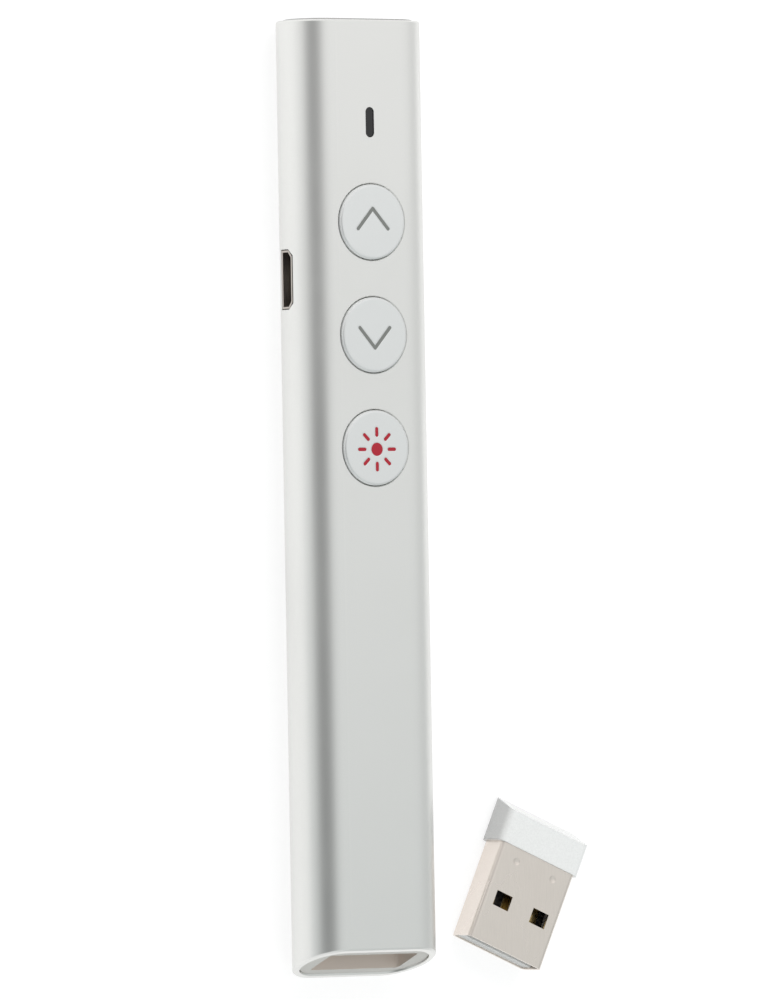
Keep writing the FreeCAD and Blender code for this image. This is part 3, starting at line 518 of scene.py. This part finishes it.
# %% White floor
floor_half = 3.0
floor_drop = 0.00003
floor_mesh = bpy.data.meshes.new("floor")
floor_form = bmesh.new()
corners = [floor_form.verts.new((x * floor_half, y * floor_half, -floor_drop))
           for x, y in ((-1, -1), (1, -1), (1, 1), (-1, 1))]
floor_form.faces.new(corners)
floor_form.to_mesh(floor_mesh)
floor_form.free()
floor = bpy.data.objects.new("floor", floor_mesh)
bpy.context.scene.collection.objects.link(floor)


def seen_directly(tree):
    """1 for camera, glossy and transmission rays, 0 for the light that falls on things."""
    path = add(tree, "LightPath")
    either = combine(tree, "MAXIMUM", path.outputs["Is Camera Ray"], path.outputs["Is Glossy Ray"])
    return combine(tree, "MAXIMUM", either, path.outputs["Is Transmission Ray"])


floor_white = bpy.data.materials.new("floor white")
floor_white.use_nodes = True
floor_tree = floor_white.node_tree
floor_shader = floor_tree.nodes["Principled BSDF"]
floor_grey = (0.32, 0.32, 0.32, 1)
floor_shader.inputs["Base Color"].default_value = floor_grey
floor_shader.inputs["Roughness"].default_value = 0.9
floor_shader.inputs["Specular IOR Level"].default_value = 0.0
floor_shader.inputs["Emission Color"].default_value = (1, 1, 1, 1)
floor_lift = 0.78
feed(floor_tree, floor_shader.inputs["Emission Strength"],
     combine(floor_tree, "MULTIPLY", seen_directly(floor_tree), floor_lift))
floor_mesh.materials.append(floor_white)
print("floor", 2 * floor_half, "m square")

# %% [markdown]
# ## The studio's light
# Satin metal shows the room more than it shows its own colour. The room here is a white tent, which
# is the world's even light, with one dim patch on the camera's side. The patch is a dark net on a
# piece of a sphere around the object: clear at its rim and dense in its middle. It is what draws
# the soft dark band along the clicker's rounded side, and the camera itself doesn't see it. The
# net is tinted by the angle between a point of it and its middle, a few degrees left of the
# camera, so it stays in one place whatever view is taken.

# %% White tent and dark net
world = bpy.data.worlds.new("white tent")
bpy.context.scene.world = world
world.use_nodes = True
world_tree = world.node_tree
tent = world_tree.nodes["Background"]
tent.inputs["Color"].default_value = (1, 1, 1, 1)
tent.inputs["Strength"].default_value = 1.0

net_radius = 0.9
net_half_angle = math.radians(36)
net_core_angle = math.radians(5)
net_rings = 24
net_spokes = 72
net_form = bmesh.new()
net_turn = math.radians(-6)
net_middle = Matrix.Rotation(net_turn, 3, "Y") @ towards_camera
side_a = net_middle.orthogonal().normalized()
side_b = net_middle.cross(side_a)
rings = []
for i in range(1, net_rings + 1):
    tilt = net_half_angle * i / net_rings
    ring = []
    for k in range(net_spokes):
        turn = 2 * math.pi * k / net_spokes
        sideways = side_a * math.cos(turn) + side_b * math.sin(turn)
        direction = net_middle * math.cos(tilt) + sideways * math.sin(tilt)
        ring.append(net_form.verts.new(direction * net_radius))
    rings.append(ring)
crown = net_form.verts.new(net_middle * net_radius)
for k in range(net_spokes):
    after = (k + 1) % net_spokes
    net_form.faces.new((crown, rings[0][k], rings[0][after]))
    for inner, outer in zip(rings, rings[1:]):
        net_form.faces.new((inner[k], outer[k], outer[after], inner[after]))
net_mesh = bpy.data.meshes.new("dark_net")
net_form.to_mesh(net_mesh)
net_form.free()
net = bpy.data.objects.new("dark_net", net_mesh)
bpy.context.scene.collection.objects.link(net)
net.visible_camera = False

net_material = bpy.data.materials.new("dark net")
net_material.use_nodes = True
net_tree = net_material.node_tree
net_tree.nodes.remove(net_tree.nodes["Principled BSDF"])
gauze = add(net_tree, "BsdfTransparent")
outward = add(net_tree, "VectorMath", operation="NORMALIZE")
feed(net_tree, outward.inputs[0], add(net_tree, "TexCoord").outputs["Object"])
facing = add(net_tree, "VectorMath", operation="DOT_PRODUCT")
feed(net_tree, facing.inputs[0], outward.outputs[0])
facing.inputs[1].default_value = net_middle
ramp = add(net_tree, "ValToRGB")
ramp.color_ramp.interpolation = "EASE"
net_middle_level = 0.25
stops = {math.cos(net_half_angle): 1.0, math.cos(net_core_angle): net_middle_level}
for element, (position, level) in zip(ramp.color_ramp.elements, stops.items()):
    element.position = position
    element.color = (level, level, level, 1)
feed(net_tree, ramp.inputs[0], facing.outputs["Value"])
feed(net_tree, gauze.inputs["Color"], ramp.outputs["Color"])
feed(net_tree, net_tree.nodes["Material Output"].inputs["Surface"], gauze.outputs[0])
net_mesh.materials.append(net_material)
print("net reaches", round(math.degrees(net_half_angle)), "degrees around its middle")

# %% [markdown]
# The picture grows a little darker and cooler from the laser end to the tail, and at the far right
# edge. A light cloth hangs over the clicker as a half tunnel along it. It is clear over the laser
# end, lightly tinted over the tail, and tinted low on the right. It is close to the object, so each
# place along the bar mirrors its own place on the cloth, which an endless sky can't do.

# %% Fading cloth
cloth_radius = 0.2
cloth_half_length = 0.5
cloth_steps = 48
cloth_mesh = bpy.data.meshes.new("cloth")
cloth_form = bmesh.new()
arcs = []
for y in (-cloth_half_length, cloth_half_length):
    arc = []
    for i in range(cloth_steps + 1):
        turn = math.pi * i / cloth_steps
        arc.append(cloth_form.verts.new((cloth_radius * math.cos(turn), y, cloth_radius * math.sin(turn))))
    arcs.append(arc)
for i in range(cloth_steps):
    cloth_form.faces.new((arcs[0][i], arcs[0][i + 1], arcs[1][i + 1], arcs[1][i]))
cloth_form.to_mesh(cloth_mesh)
cloth_form.free()
cloth = bpy.data.objects.new("cloth", cloth_mesh)
bpy.context.scene.collection.objects.link(cloth)
cloth.visible_camera = False

cloth_material = bpy.data.materials.new("fading cloth")
cloth_material.use_nodes = True
cloth_tree = cloth_material.node_tree
cloth_tree.nodes.remove(cloth_tree.nodes["Principled BSDF"])
sheer = add(cloth_tree, "BsdfTransparent")
spot = add(cloth_tree, "SeparateXYZ")
feed(cloth_tree, spot.inputs[0], add(cloth_tree, "TexCoord").outputs["Object"])
fade_half_length = 0.09
tail_fade = 0.30
cool_fade = 0.9 * tail_fade
right_starts = 0.7 * cloth_radius
right_full = 0.95 * cloth_radius
right_left_through = 0.80
over_tail = span(cloth_tree, spot.outputs["Y"], fade_half_length, -fade_half_length, 0.0, 1.0)
low_right = span(cloth_tree, spot.outputs["X"], right_starts, right_full, 1.0, right_left_through)
tail_tint = (1 - tail_fade, 1 - cool_fade, 1 - cool_fade, 1)
cool = blend_colour(cloth_tree, over_tail, (1, 1, 1, 1), tail_tint)
dimmed = add(cloth_tree, "VectorMath", operation="SCALE")
feed(cloth_tree, dimmed.inputs[0], cool)
feed(cloth_tree, dimmed.inputs["Scale"], low_right)
feed(cloth_tree, sheer.inputs["Color"], dimmed.outputs[0])
feed(cloth_tree, cloth_tree.nodes["Material Output"].inputs["Surface"], sheer.outputs[0])
cloth_mesh.materials.append(cloth_material)
print("cloth takes", round(100 * tail_fade), "percent of the light over the tail")

# %% [markdown]
# Two soft boxes stand beyond the two ends of the clicker. They light the white plastic, the symbols
# and the floor, and metal doesn't mirror them, so no view of the flat face glares. The one at the
# laser end is stronger, as in the picture, where that end is brighter. Their power follows from how
# bright their faces should look: a one-sided panel's radiance is its power over pi times its area.

# %% Soft boxes at the ends
def soft_box(name, place, aim, width, height, radiance):
    """A rectangular lamp of the given face brightness, aimed at a point."""
    data = bpy.data.lights.new(name, "AREA")
    data.shape = "RECTANGLE"
    data.size = width
    data.size_y = height
    data.energy = radiance * math.pi * width * height
    lamp = bpy.data.objects.new(name, data)
    lamp.location = place
    lamp.rotation_euler = (Vector(aim) - Vector(place)).to_track_quat("-Z", "Y").to_euler()
    lamp.visible_camera = False
    lamp.visible_glossy = False
    bpy.context.scene.collection.objects.link(lamp)
    return lamp


box_width = 0.8
box_height = 0.7
nose_brightness = 1.5
tail_brightness = 1.2
nose_box = soft_box("nose_box", (0.15, 0.75, 0.70), body_middle, box_width, box_height, nose_brightness)
tail_box = soft_box("tail_box", (0.10, -0.85, 0.60), body_middle, box_width, box_height, tail_brightness)
print("soft boxes of", round(nose_box.data.energy, 2), "and", round(tail_box.data.energy, 2), "W")
